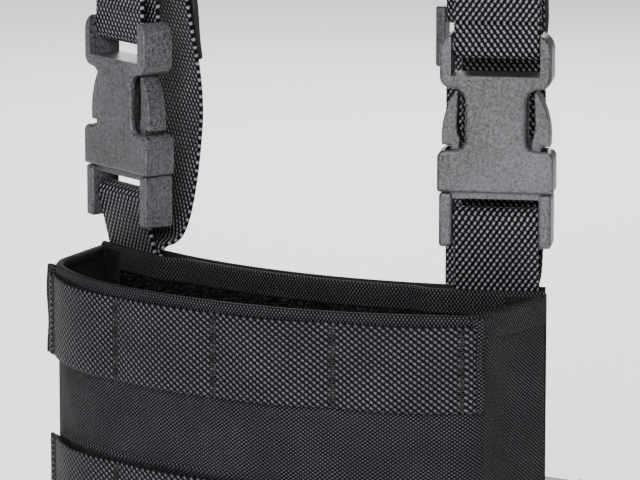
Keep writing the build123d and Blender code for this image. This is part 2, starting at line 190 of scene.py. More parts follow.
class Course:
    """Line that a strap follows, measured by length, with the direction across the strap along it."""

    def __init__(self, points: Sequence[Vector], across: list[Vector] | Vector) -> None:
        """Keeps the points and the running length at each.

        Args:
            points: the line's points in millimetres.
            across: direction across the strap, either one for all points or one for each.
        """
        each = across if isinstance(across, list) else [across] * len(points)
        self.points = [Vector(p) for p in points]
        self.across = [a.normalized() for a in each]
        self.marks = [0.0]
        for a, b in zip(self.points, self.points[1:]):
            self.marks.append(self.marks[-1] + (b - a).length)
        self.length = self.marks[-1]

    def at(self, length: float) -> tuple[Vector, Vector, Vector]:
        """The course at a length along it.

        Args:
            length: millimetres from the start.

        Returns:
            The point, the direction across, and the direction out of the strap's face.
        """
        length = min(max(length, 0.0), self.length)
        low, high = 0, len(self.marks) - 1
        while high - low > 1:
            middle = (low + high) // 2
            if self.marks[middle] <= length:
                low = middle
            else:
                high = middle
        share = (length - self.marks[low]) / max(1e-9, self.marks[high] - self.marks[low])
        point = self.points[low].lerp(self.points[high], share)
        across = self.across[low].lerp(self.across[high], share).normalized()
        along = (self.points[high] - self.points[low]).normalized()
        return point, across, across.cross(along).normalized()


# ---------------------------------------------------------------- mesh work

def deselect() -> None:
    """Leaves edit mode and deselects all."""
    if bpy.context.object is not None and bpy.context.object.mode != "OBJECT":
        bpy.ops.object.mode_set(mode="OBJECT")
    bpy.ops.object.select_all(action="DESELECT")


def select_only(piece: bpy.types.Object) -> None:
    """Makes one piece the selected and active one."""
    deselect()
    piece.select_set(True)
    bpy.context.view_layer.objects.active = piece


def laid_grid(name: str, width: float, length: float, columns: int, rows: int,
              place: Callable[[float, float], Vector]) -> bpy.types.Object:
    """Flat cloth cut to size as a grid, then laid in place, with its UV map in millimetres.

    Args:
        name: the piece's name.
        width: flat size across.
        length: flat size along.
        columns: cells across.
        rows: cells along.
        place: gives the point in millimetres for (across, along), where across is zero at the middle.

    Returns:
        The laid cloth, one face thick.
    """
    deselect()
    bpy.ops.mesh.primitive_grid_add(x_subdivisions=columns, y_subdivisions=rows, size=1.0)
    cloth = bpy.context.active_object
    cloth.name = name
    cloth.data.name = name
    for vertex in cloth.data.vertices:
        vertex.co = place(vertex.co.x * width, (vertex.co.y + 0.5) * length) * MM
    for corner in cloth.data.uv_layers.active.data:
        corner.uv = (corner.uv.x * width, corner.uv.y * length)
    return cloth


def apply_modifier(piece: bpy.types.Object, kind: str, **settings: object) -> None:
    """Adds a modifier with its settings and applies it."""
    select_only(piece)
    modifier = piece.modifiers.new(kind.title(), kind)
    for key, value in settings.items():
        setattr(modifier, key, value)
    bpy.ops.object.modifier_apply(modifier=modifier.name)


def thicken(piece: bpy.types.Object, thickness: float, edge: float = 0.4) -> None:
    """Gives laid cloth its thickness, rounds its edges and shades it smooth.

    Args:
        piece: the laid cloth.
        thickness: in millimetres, half on each side.
        edge: width of the rounding.
    """
    apply_modifier(piece, "SOLIDIFY", thickness=thickness * MM, offset=0.0, use_even_offset=True)
    apply_modifier(piece, "BEVEL", width=edge * MM, segments=2, limit_method="ANGLE",
                   angle_limit=math.radians(50))
    bpy.ops.object.shade_smooth_by_angle(angle=math.radians(48))


def ribbon(name: str, course: Course, width: float = WEBBING, thickness: float = WEB, step: float = 0.65,
           columns: int = 8, selvedge: float = 0.14) -> bpy.types.Object:
    """Webbing laid along a course, its edges waved where each weft thread turns back.

    Args:
        name: the piece's name.
        course: the line that it follows.
        width: webbing width.
        thickness: webbing thickness.
        step: cell length along it.
        columns: cells across it.
        selvedge: how far the edge waves in and out.

    Returns:
        The webbing.
    """
    def place(across: float, along: float) -> Vector:
        point, side, _ = course.at(along)
        if abs(across) > 0.499 * width:
            across += math.copysign(selvedge * math.sin(2 * math.pi * along / 2.6), across)
        return point + side * across

    rows = max(4, round(course.length / step))
    strap = laid_grid(name, width, course.length, columns, rows, place)
    thicken(strap, thickness)
    return strap


def folded_tape(name: str, course: Course, outer_leg: float, inner_leg: float, half_gap: float,
                thickness: float = 0.6, step: float = 1.6) -> bpy.types.Object:
    """Binding tape folded over an edge.

    Args:
        name: the piece's name.
        course: the bound edge, with the direction from the edge into the cloth as its across.
        outer_leg: how far the tape reaches on the course's outer side.
        inner_leg: how far it reaches on the other side.
        half_gap: half the thickness of what it binds, with the tape's own half thickness.
        thickness: of the tape.
        step: cell length along it.

    Returns:
        The tape.
    """
    bend = math.pi * half_gap
    width = outer_leg + bend + inner_leg

    def place(across: float, along: float) -> Vector:
        point, inward, out = course.at(along)
        run = across + width / 2
        if run < outer_leg:
            depth, height = outer_leg - run, half_gap
        elif run < outer_leg + bend:
            angle = (run - outer_leg) / half_gap
            depth, height = -half_gap * math.sin(angle), half_gap * math.cos(angle)
        else:
            depth, height = run - outer_leg - bend, -half_gap
        return point + inward * depth + out * height

    tape = laid_grid(name, width, course.length, 16, max(3, round(course.length / step)), place)
    thicken(tape, thickness, 0.2)
    return tape


def turn_outwards(piece: bpy.types.Object, merge: float = 0.0) -> None:
    """Turns every face outwards, after points nearer than merge millimetres have become one."""
    select_only(piece)
    bpy.ops.object.mode_set(mode="EDIT")
    bpy.ops.mesh.select_all(action="SELECT")
    if merge:
        bpy.ops.mesh.remove_doubles(threshold=merge * MM)
    bpy.ops.mesh.normals_make_consistent(inside=False)
    bpy.ops.object.mode_set(mode="OBJECT")


def close_tube(piece: bpy.types.Object, angle: float) -> None:
    """Joins a tube's long seam and pinched ends, and keeps edges sharper than the angle sharp."""
    turn_outwards(piece, 0.02)
    bpy.ops.object.shade_smooth_by_angle(angle=math.radians(angle))


def new_piece(name: str, points: Sequence[Vector], faces: Sequence[tuple[int, ...]]) -> bpy.types.Object:
    """A piece from points in millimetres and the faces between them."""
    mesh = bpy.data.meshes.new(name)
    mesh.from_pydata([p * MM for p in points], [], faces)
    piece = bpy.data.objects.new(name, mesh)
    bpy.context.scene.collection.objects.link(piece)
    return piece


@dataclass
class Stitch:
    """One stitch: where it lies, which way it runs, and which way is out of the cloth."""

    middle: Vector
    along: Vector
    out: Vector
    length: float


def sewn(name: str, stitches: Sequence[Stitch], thread: float = 0.5) -> bpy.types.Object:
    """Stitches joined into one piece, each a short thread that dips into the cloth at both ends.

    Args:
        name: the piece's name.
        stitches: the stitches, in millimetres.
        thread: thread diameter.

    Returns:
        The sewing.
    """
    rings = ((-0.5, 0.35, -0.5), (-0.3, 0.95, 0.15), (0.3, 0.95, 0.15), (0.5, 0.35, -0.5))
    sides = 5
    points: list[Vector] = []
    faces: list[tuple[int, ...]] = []
    for stitch in stitches:
        first = len(points)
        along, out = stitch.along.normalized(), stitch.out.normalized()
        across = along.cross(out).normalized()
        for share, size, lift in rings:
            for k in range(sides):
                angle = 2 * math.pi * k / sides
                ring = across * math.cos(angle) + out * (math.sin(angle) + lift)
                points.append(stitch.middle + along * (share * stitch.length) + ring * (size * thread / 2))
        for r in range(len(rings) - 1):
            for k in range(sides):
                a, b = first + r * sides + k, first + r * sides + (k + 1) % sides
                faces.append((a, b, b + sides, a + sides))
        faces.append(tuple(first + k for k in reversed(range(sides))))
        faces.append(tuple(first + (len(rings) - 1) * sides + k for k in range(sides)))
    piece = new_piece(name, points, faces)
    turn_outwards(piece)
    bpy.ops.object.shade_smooth()
    return piece


def stitch_row(line: Sequence[Vector], out: Callable[[Vector], Vector], length: float = 2.5,
               pitch: float = 3.3) -> list[Stitch]:
    """Stitches at an even pitch along a line.

    Args:
        line: the seam's points in millimetres.
        out: gives the direction out of the cloth at a point.
        length: of one stitch.
        pitch: from one stitch to the next.

    Returns:
        The stitches.
    """
    seam = Course(line, UP)
    found = []
    for i in range(int(seam.length / pitch)):
        start, end = (seam.at(pitch * i + x)[0] for x in (0.2, 0.2 + length))
        middle = (start + end) / 2
        found.append(Stitch(middle, end - start, out(middle), length))
    return found


# ---------------------------------------------------------------- finishes

def srgb(colour: str) -> tuple[float, float, float, float]:
    """A hex colour such as "1c1d20", turned from sRGB to linear, with alpha."""
    parts = [int(colour[i:i + 2], 16) / 255 for i in (0, 2, 4)]
    linear = [x / 12.92 if x <= 0.04045 else ((x + 0.055) / 1.055) ** 2.4 for x in parts]
    return (*linear, 1.0)


def add_node(tree: bpy.types.NodeTree, kind: str, inputs: dict | None = None,
             stops: Sequence[tuple[float, str]] = (), **settings: object) -> bpy.types.Node:
    """Adds a node with its settings, and sets or links its inputs.

    Args:
        tree: the material's node tree.
        kind: the node's type, after ShaderNode.
        inputs: values, or sockets or nodes to link, by input name or number.
        stops: a colour ramp's (place, hex colour) pairs in order.
        settings: the node's own properties.

    Returns:
        The node.
    """
    node = tree.nodes.new(f"ShaderNode{kind}")
    for key, value in settings.items():
        setattr(node, key, value)
    for _ in stops[2:]:
        node.color_ramp.elements.new(0.5)
    for i, (place, colour) in enumerate(stops):
        node.color_ramp.elements[i].position = place
        node.color_ramp.elements[i].color = srgb(colour)
    for key, value in (inputs or {}).items():
        if isinstance(value, bpy.types.Node):
            value = value.outputs[0]
        if isinstance(value, bpy.types.NodeSocket):
            tree.links.new(value, node.inputs[key])
        else:
            node.inputs[key].default_value = value
    return node


def new_material(name: str) -> tuple[bpy.types.Material, bpy.types.NodeTree]:
    """An empty node material and its tree."""
    material = bpy.data.materials.new(name)
    material.use_nodes = True
    material.node_tree.nodes.clear()
    return material, material.node_tree


@dataclass(frozen=True)
class Weave:
    """Woven nylon: raised floats of matt yarn in staggered rows, with pits between; black painted shade
    fills the pits and a pale painted highlight lies on the crests.
    """

    name: str
    across_pitch: float
    along_pitch: float
    pit: str
    yarn: str
    crest: str
    depth: float
    slant: float = 0.0             # how far the floats lean, as a share of the pitch across
    roughness: float = 0.55
    specular: float = 0.07

    def build(self) -> bpy.types.Material:
        """The material, which follows the piece's UV map in millimetres."""
        material, tree = new_material(self.name)
        uv = add_node(tree, "UVMap", uv_map="UVMap").outputs["UV"]
        # yarns lie a little unevenly, over a few millimetres
        drift = add_node(tree, "TexNoise", {"Vector": uv, "Scale": 0.12, "Detail": 2.0})
        shift = add_node(tree, "VectorMath", {0: drift.outputs["Color"], 1: (0.5, 0.5, 0.5)},
                         operation="SUBTRACT")
        wander = add_node(tree, "VectorMath", {0: shift, 3: 0.5}, operation="SCALE")
        laid = add_node(tree, "VectorMath", {0: uv, 1: wander}, operation="ADD")
        place = add_node(tree, "SeparateXYZ", {0: laid})
        along = add_node(tree, "Math", {0: place.outputs["Y"], 1: math.pi / self.along_pitch},
                         operation="MULTIPLY")
        double = add_node(tree, "Math", {0: along, 1: 2.0}, operation="MULTIPLY")
        lean = add_node(tree, "Math", {0: double}, operation="SINE")
        across = add_node(tree, "Math", {0: place.outputs["X"], 1: 2 * math.pi / self.across_pitch},
                          operation="MULTIPLY")
        slanted = add_node(tree, "Math", {0: lean, 1: self.slant * 2 * math.pi, 2: across},
                           operation="MULTIPLY_ADD")
        columns = add_node(tree, "Math", {0: slanted}, operation="COSINE")
        rows = add_node(tree, "Math", {0: along}, operation="COSINE")
        lattice = add_node(tree, "Math", {0: columns, 1: rows}, operation="MULTIPLY")
        height = add_node(tree, "MapRange", {"Value": lattice, "From Min": -1.0, "From Max": 1.0})
        # single filaments in the yarn, drawn about four times too coarse so that they show
        fibre = add_node(tree, "TexNoise", {"Vector": uv, "Scale": 5.0, "Detail": 3.0})
        rough_height = add_node(tree, "Math", {0: fibre.outputs["Fac"], 1: 0.35, 2: height},
                                operation="MULTIPLY_ADD")
        # colour by height: the black pit stops are painted shade, and the pale crest stop is a painted
        # highlight standing in for the sheen on the floats over the dark yarn
        colour = add_node(tree, "ValToRGB", {0: height},
                          ((0.0, self.pit), (0.25, self.pit), (0.52, self.yarn), (0.88, self.crest)))
        dust = add_node(tree, "TexNoise", {"Vector": uv, "Scale": 0.06, "Detail": 4.0})
        shade = add_node(tree, "ValToRGB", {0: dust.outputs["Fac"]}, ((0.3, "d8d8da"), (0.7, "ffffff")))
        tinted = add_node(tree, "Mix", {0: 1.0, 6: colour, 7: shade}, data_type="RGBA",
                          blend_type="MULTIPLY")
        bump = add_node(tree, "Bump", {"Height": rough_height, "Strength": 1.0,
                                       "Distance": self.depth * MM})
        shader = add_node(tree, "BsdfPrincipled",
                          {"Base Color": tinted.outputs[2], "Roughness": self.roughness,
                           "Specular IOR Level": self.specular, "Normal": bump})
        add_node(tree, "OutputMaterial", {"Surface": shader})
        return material


@dataclass(frozen=True)
class Mottle:
    """A surface with no weave: fibres, or a mould's fine grain, from noise on the object; on moulded acetal
    the colour's pale speckles are painted sheen.
    """

    name: str
    dark: str
    light: str
    grain: float
    depth: float
    roughness: tuple[float, float]
    broad: float = 12.0
    specular: float = 0.4

    def build(self) -> bpy.types.Material:
        """The material, which follows Object coordinates, with its grain in millimetres."""
        material, tree = new_material(self.name)
        where = add_node(tree, "TexCoord").outputs["Object"]
        fine = add_node(tree, "TexNoise", {"Vector": where, "Scale": 1 / (self.grain * MM),
                                           "Detail": 3.0, "Roughness": 0.6})
        broad = add_node(tree, "TexNoise", {"Vector": where, "Scale": 1 / (self.broad * MM),
                                            "Detail": 3.0})
        # the colour follows mostly the fine grain and partly the broad mottle; on the moulded acetal the
        # pale speckles are painted sheen and the broad mottle is a painted highlight that brightens parts
        # of its faces
        both = add_node(tree, "Mix", {0: 0.3, 2: fine.outputs["Fac"], 3: broad.outputs["Fac"]},
                        data_type="FLOAT")
        colour = add_node(tree, "ValToRGB", {0: both}, ((0.35, self.dark), (0.65, self.light)))
        rough = add_node(tree, "MapRange", {"Value": both, "From Min": 0.35, "From Max": 0.65,
                                            "To Min": self.roughness[0], "To Max": self.roughness[1]})
        bump = add_node(tree, "Bump", {"Height": fine.outputs["Fac"], "Strength": 1.0,
                                       "Distance": self.depth * MM})
        shader = add_node(tree, "BsdfPrincipled",
                          {"Base Color": colour, "Roughness": rough,
                           "Specular IOR Level": self.specular, "Normal": bump})
        add_node(tree, "OutputMaterial", {"Surface": shader})
        return material


@dataclass(frozen=True)
class KnittedMesh:
    """Spacer mesh: a knitted face with round holes that show the darker layer behind."""

    name: str
    hole_pitch: float
    yarn: str
    hole: str

    def build(self) -> bpy.types.Material:
        """The material, which follows the piece's UV map in millimetres."""
        material, tree = new_material(self.name)
        uv = add_node(tree, "UVMap", uv_map="UVMap").outputs["UV"]
        cells = add_node(tree, "TexVoronoi", {"Vector": uv, "Scale": 1 / self.hole_pitch,
                                              "Randomness": 0.25}, voronoi_dimensions="2D")
        colour = add_node(tree, "ValToRGB", {0: cells.outputs["Distance"]},
                          ((0.22, self.hole), (0.36, self.yarn)))
        fibre = add_node(tree, "TexNoise", {"Vector": uv, "Scale": 3.0, "Detail": 3.0})
        height = add_node(tree, "Math", {0: fibre.outputs["Fac"], 1: 0.3, 2: cells.outputs["Distance"]},
                          operation="MULTIPLY_ADD")
        bump = add_node(tree, "Bump", {"Height": height, "Strength": 1.0, "Distance": 0.8 * MM})
        shader = add_node(tree, "BsdfPrincipled",
                          {"Base Color": colour, "Roughness": 0.7, "Sheen Weight": 0.3, "Normal": bump})
        add_node(tree, "OutputMaterial", {"Surface": shader})
        return material


class Wardrobe:
    """The finishes, each built once."""

    def __init__(self) -> None:
        """Builds every finish."""
        # nylon webbing: rows of slanted black floats, with painted highlight on their crests and painted
        # shade in the pits between
        self.webbing = Weave("woven_nylon_webbing", 1.85, 1.3, "000000", "0a0a0b", "74757a",
                             depth=0.45, slant=-0.07).build()
        # the same webbing on its side in the ladder rows, a little flatter, its painted crest highlight
        # dimmer
        self.ladder = Weave("woven_nylon_ladder_webbing", 1.85, 1.15, "000000", "09090a", "4f5055",
                            depth=0.35, slant=0.07).build()
        # coated nylon pack cloth: a basket weave of thick matt yarns, with painted highlight on the crests
        # and painted shade in the pits
        self.cloth = Weave("nylon_pack_cloth", 1.5, 0.55, "000000", "09090a", "434448",
                           depth=0.26, roughness=0.65).build()
        # grosgrain binding: fine ribs across the tape, their crests a faint painted highlight and the
        # hollows painted shade
        self.tape = Weave("nylon_grosgrain_tape", 0.9, 0.5, "020202", "0c0c0d", "26272a",
                          depth=0.14, roughness=0.62).build()
        # spacer mesh: matt knitted yarn with black holes
        self.mesh = KnittedMesh("polyester_spacer_mesh", 2.4, "0c0c0e", "000000").build()
        # brushed loop pile: nearly black, with paler single fibres
        self.pile = Mottle("brushed_nylon_loop", "000000", "060607", 0.7, 0.8, (0.85, 0.95),
                           specular=0.05).build()
        self.fibre = Mottle("nylon_loop_fibre", "040405", "2a2b2e", 1.2, 0.05, (0.6, 0.8),
                            specular=0.05).build()
        # skinned neoprene: smooth, dull and very dark
        self.neoprene = Mottle("skinned_neoprene", "060607", "0b0b0c", 0.6, 0.04, (0.5, 0.62),
                               specular=0.25).build()
        # bonded thread: slightly glossy and as dark as the cloth it lies on
        self.thread = Mottle("bonded_nylon_thread", "030304", "18181a", 0.4, 0.05, (0.45, 0.6),
                             specular=0.2).build()
        # acetal from a spark-eroded mould, very dark grey: its pale speckles are painted sheen off the fine
        # matt grain, and the 25 mm mottle is a painted highlight across the faces
        self.acetal = Mottle("moulded_acetal", "040405", "4c4d50", 0.8, 0.10, (0.3, 0.5), broad=25.0,
                             specular=0.3).build()


def dress(piece: bpy.types.Object, material: bpy.types.Material, body: str = "root",
          replaces: Sequence[str] = ()) -> bpy.types.Object:
    """Gives a finished piece its material, slot, body and the nodes that it stands for.

    Args:
        piece: the piece.
        material: its finish.
        body: the frame body it rides on.
        replaces: frame nodes that it stands for.

    Returns:
        The piece.
    """
    piece.data.materials.clear()
    piece.data.materials.append(material)
    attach(piece, body)
    if replaces:
        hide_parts(*replaces)
    log.info("%s: %d faces on %s", piece.name, len(piece.data.polygons), body)
    return piece


def lay_strap(finish: Wardrobe, name: str, course: Course, nodes: Sequence[str] = (),
              body: str = "root") -> bpy.types.Object:
    """Strap webbing laid along a course, dressed and standing for the frame's nodes."""
    return dress(ribbon(name, course), finish.webbing, body, nodes)


# ---------------------------------------------------------------- panel and pouch

@dataclass
class Panel:
    """Padded panel against the chest, with its loop lining, hems and binding."""

    finish: Wardrobe
    lining_low: float = 163.3      # middle of the lining where it's sewn flat to the shell
    shell_face: float = 161.9      # outer face of the shell where there is no foam
    foam_face: float = 165.5       # outer face over the foam
    foam_half_arc: float = 58.0
    foam_top: float = 18.0
    bound_arc: float = 75.2        # where the cloth ends inside the binding's fold
    quilt_pitch: float = 42.0      # between the quilting channels on the body side
    middle: float = 163.6          # radius halfway through the bound edges
    body_face: float = 159.2       # where stitches lie on the body side
    gap: float = 3.95              # half gap of the binding's fold

    def lining_radius(self, arc: float, drop: float) -> float:
        """Middle radius of the lining, which dips to the shell at the top edge between the straps."""
        near_top = 1 - smoothstep(4.0, 15.0, drop)
        between = 1 - smoothstep(39.0, 47.0, abs(arc))
        return LINING_RADIUS - (LINING_RADIUS - self.lining_low) * near_top * between

    def point(self, arc: float, radius: float, drop: float) -> Vector:
        """Point on the panel by arc length, radius and distance below the top edge."""
        at = polar(PANEL_CENTRE_Y, radius, arc, PANEL_RADIUS)
        at.z = PANEL_TOP - drop
        return at

    def out(self, point: Vector) -> Vector:
        """Direction away from the body at a point on the panel."""
        return Vector((point.x, point.y - PANEL_CENTRE_Y, 0)).normalized()

    def build_pad(self) -> None:
        """Closed pad: knitted mesh towards the body, pack cloth on the other side."""
        around, rows = 120, 76
        half = PANEL_HALF_ARC - 0.4

        def place(across: float, along: float) -> Vector:
            share = 2 * (across + 0.5)
            on_body = share < 1.0
            arc = half * (2 * share - 1) if on_body else half * (3 - 2 * share)
            inside = 1 - smoothstep(self.foam_half_arc - 8, self.foam_half_arc, abs(arc))
            below = smoothstep(self.foam_top, self.foam_top + 9, along)
            above = 1 - smoothstep(PANEL_HEIGHT - 12, PANEL_HEIGHT - 3, along)
            plump = inside * below * above
            channel = 0.9 * math.exp(-(((along % self.quilt_pitch) - self.quilt_pitch / 2) / 1.6) ** 2)
            if on_body:
                radius = PANEL_RADIUS + 0.5 - 0.4 * plump + channel * plump
            else:
                radius = self.shell_face + (self.foam_face - self.shell_face) * plump
            if min(along, PANEL_HEIGHT - along) < 0.1:
                radius = PANEL_RADIUS + 1.0
            return self.point(arc, radius, along)

        pad = laid_grid("chest_pad", 1.0, PANEL_HEIGHT, around, rows, place)
        for corner in pad.data.uv_layers.active.data:
            corner.uv = (corner.uv.x * 4 * half, corner.uv.y)
        close_tube(pad, 50)
        dress(pad, self.finish.cloth, replaces=("back_shell", "panel_foam", "body_mesh"))
        pad.data.materials.append(self.finish.mesh)
        for face in pad.data.polygons:
            towards_body = face.normal.dot(self.out(face.center / MM)) < -0.3
            face.material_index = 1 if towards_body else 0

    def build_lining(self) -> None:
        """Loop lining inside the pouch, with its brushed fibres."""
        def place(across: float, along: float) -> Vector:
            return self.point(across, self.lining_radius(across, along), along)

        lining = laid_grid("loop_lining_sheet", 2 * PANEL_HALF_ARC, PANEL_HEIGHT, 110, 100, place)
        thicken(lining, 1.1, 0.3)
        dress(lining, self.finish.pile, replaces=("loop_lining",))
        dress(self.fibres(), self.finish.fibre)

    def fibres(self) -> bpy.types.Object:
        """Loose loops that stand up from the lining, each a curved strip of a few faces."""
        rng = random.Random(7)
        points: list[Vector] = []
        faces: list[tuple[int, ...]] = []
        for _ in range(5200):
            arc = rng.uniform(-76.0, 76.0)
            drop = 6.5 + 60.0 * rng.random() ** 1.6
            foot = self.point(arc, self.lining_radius(arc, drop) + 0.5, drop)
            out = self.out(foot)
            side = Vector((-out.y, out.x, 0))
            angle = rng.uniform(0, 2 * math.pi)
            along = side * math.cos(angle) + UP * math.sin(angle)
            across = along.cross(out)
            span, lift = rng.uniform(0.8, 2.2), rng.uniform(0.4, 1.0)
            first = len(points)
            for i in range(5):
                t = i / 4
                spine = foot + along * (span * (t - 0.5)) + out * (lift * 4 * t * (1 - t))
                for edge in (-0.07, 0.07):
                    points.append(spine + across * edge)
            faces += [(k, k + 1, k + 3, k + 2) for k in range(first, first + 8, 2)]
        return new_piece("loop_fibres", points, faces)

    def build_edges(self) -> None:
        """Hems on the top edges and binding round the sides and the bottom."""
        arcs = [PANEL_HALF_ARC * (i / 40 - 1) for i in range(81)]
        lining = Course([self.point(a, self.lining_radius(a, 0.0), -0.1) for a in arcs], -UP)
        hem = folded_tape("lining_hem", lining, 6.0, 5.0, 1.0)
        dress(hem, self.finish.cloth)
        shell = Course([self.point(a, 161.0, -0.1) for a in arcs], -UP)
        dress(folded_tape("shell_hem", shell, 5.0, 6.0, 1.35), self.finish.tape)
        seam = [self.point(a, self.lining_radius(a, 3.0) + 1.35, 3.0) for a in arcs]
        back_seam = [self.point(a, 159.6, 3.6) for a in arcs]
        stitches = stitch_row(seam, self.out) + stitch_row(back_seam, lambda p: -self.out(p))
        for side in Side:
            edge = side.value * self.bound_arc
            drops = [PANEL_HEIGHT * i / 40 for i in range(41)]
            points = [self.point(edge, self.middle, d) for d in drops]
            out = self.out(points[0])
            course = Course(points, Vector((-out.y, out.x, 0)) * -side.value)
            bound = folded_tape(f"{side.label}_side_binding", course, 8.0, 8.0, self.gap)
            dress(bound, self.finish.tape)
            for radius, sign in ((168.0, 1), (self.body_face, -1)):
                line = [self.point(edge - side.value * 6.3, radius, d) for d in drops[2:-1]]
                stitches += stitch_row(line, lambda p, s=sign: self.out(p) * s)
        low = [self.point(a * 0.97, self.middle, PANEL_HEIGHT - 3.6) for a in arcs]
        bound = folded_tape("bottom_binding", Course(low, UP), 8.0, 8.0, self.gap)
        dress(bound, self.finish.tape)
        stitches += stitch_row([self.point(a, self.body_face, PANEL_HEIGHT - 9.8) for a in arcs],
                               lambda p: -self.out(p))
        dress(sewn("panel_stitching", stitches, 0.55), self.finish.thread)

    def build(self) -> None:
        """Builds the panel's pieces."""
        self.build_pad()
        self.build_lining()
        self.build_edges()


@dataclass
class Pouch:
    """Open-topped pouch: one wall round the front and both gussets, and its floor."""

    finish: Wardrobe
    mouth: float = 1.0
    corner: float = 6.0            # how far before each front corner the wall starts to turn
    depth: float = 36.0            # of the floor, from the panel to the front

    def plan(self) -> list[Vector]:
        """The wall's middle line from above, from the wearer's right to the left."""
        half = FRONT_HALF_ARC
        radius = FRONT_RADIUS - 0.6
        ends = {}
        for side in Side:
            sign = side.value
            corner = front_point(sign * half, radius)
            seam = polar(PANEL_CENTRE_Y, 167.2, sign * (PANEL_HALF_ARC - 0.6), PANEL_RADIUS)
            a, b = front_point(sign * (half - self.corner), radius), corner
            c = corner.lerp(seam, self.corner / (seam - corner).length)
            bend = [a.lerp(b, t).lerp(b.lerp(c, t), t) for t in (i / 8 for i in range(9))]
            ends[side] = bend + [c.lerp(seam, i / 10) for i in range(1, 11)]
        reach = half - self.corner - 1.0
        front = [front_point(-reach + 2 * reach * i / 74, radius) for i in range(75)]
        return [*reversed(ends[Side.RIGHT]), *front, *ends[Side.LEFT]]

    def relief(self, arc: float, drop: float) -> float:
        """How far the wall stands out at a place: folds between the webbing rows, flat under them."""
        phase = (drop - ROW_DROP) % ROW_PITCH
        free = smoothstep(ROW_HEIGHT, ROW_HEIGHT + 7, phase) * (1 - smoothstep(
            ROW_PITCH - 6, ROW_PITCH, phase))
        if drop < ROW_DROP:
            free = 0.0
        soft = noise.noise(Vector((arc / 34, drop / 22, 3.1)))
        soft += 0.5 * noise.noise(Vector((arc / 11, drop / 13, 9.7)))
        fold = math.exp(-((drop - 51.6) / 0.9) ** 2) * (1 - smoothstep(-10, 22, arc))
        return free * (0.35 + 1.0 * soft) + 0.9 * fold

    def build_wall(self) -> None:
        """Front wall with both gussets as one sheet."""
        line = Course(self.plan(), -UP)
        height = PANEL_HEIGHT - self.mouth
        middle = line.length / 2
        front_end = FRONT_HALF_ARC - self.corner

        def place(across: float, along: float) -> Vector:
            point, _, out = line.at(across + middle)
            out = Vector((out.x, out.y, 0)).normalized()
            if out.dot(Vector((point.x, point.y, 0))) < 0:
                out = -out
            drop = along + self.mouth
            on_front = 1 - smoothstep(front_end - 3, front_end + 2, abs(across))
            past = max(0.0, abs(across) - front_end - 8)
            bow = -1.7 * math.sin(math.pi * min(1.0, past / 30.0)) * smoothstep(0, 25, drop)
            crease = 0.5 * noise.noise(Vector((across / 12, drop / 18, 5.5)))
            side = (bow + crease * smoothstep(0, 6, past)) * (1 - on_front)
            flare = 0.9 * math.exp(-(drop / 9.0) ** 2) * math.exp(-((abs(across) - 80) / 7.0) ** 2)
            amount = self.relief(across, drop) * on_front + side + flare
            dip = 0.5 * noise.noise(Vector((across / 18, 0.3, 1.7))) * (1 - smoothstep(0, 10, along))
            return point + out * amount + Vector((0, 0, PANEL_TOP - drop + dip))

        wall = laid_grid("pouch_wall", line.length, height, 170, 150, place)
        thicken(wall, 1.15, 0.3)
        dress(wall, self.finish.cloth,
              replaces=("pouch_front", "gusset_left", "gusset_right"))
        edge = Course([Vector((p.x, p.y, PANEL_TOP - self.mouth + 0.1)) for p in self.plan()], -UP)
        hem = folded_tape("mouth_hem", edge, 7.0, 1.7, 0.95, thickness=0.5)
        dress(hem, self.finish.cloth)

    def build_floor(self) -> None:
        """Floor of the pouch, slightly sagged."""
        half = FRONT_HALF_ARC

        def place(across: float, along: float) -> Vector:
            share = across / (2 * half)
            back = polar(PANEL_CENTRE_Y, 167.4, share * 2 * (PANEL_HALF_ARC - 1.0), PANEL_RADIUS)
            front = front_point(share * 2 * (half - 1.6), FRONT_RADIUS - 1.6)
            point = back.lerp(front, along / self.depth)
            sag = math.sin(math.pi * along / self.depth) * math.cos(math.pi * share)
            point.z = PANEL_BOTTOM + 0.9 - 0.9 * sag
            return point

        floor = laid_grid("pouch_floor_sheet", 2 * half, self.depth, 80, 20, place)
        thicken(floor, 1.1, 0.3)
        dress(floor, self.finish.cloth, replaces=("pouch_floor",))

    def build_flanges(self) -> None:
        """Seam allowance that stands out at each front corner beside the top webbing row."""
        for side in Side:
            start = front_point(side.value * (FRONT_HALF_ARC - 1.0), FRONT_RADIUS + 0.2)
            away = Vector((side.value * 0.95, 0.3, 0)).normalized()

            def place(across: float, along: float) -> Vector:
                ripple = 0.35 * math.sin(along / 3.1 + side.value)
                reach = 1.6 + across + ripple * (across / 3.6 + 0.5)
                return start + away * reach + Vector((0, 0, PANEL_TOP - 0.6 - along))

            flange = laid_grid(f"{side.label}_corner_seam", 3.6, 28.0, 5, 40, place)
            thicken(flange, 1.5, 0.45)
            dress(flange, self.finish.cloth, replaces=(f"corner_flange_{side.label}",))

    def build(self) -> None:
        """Builds the pouch's pieces."""
        self.build_wall()
        self.build_floor()
        self.build_flanges()


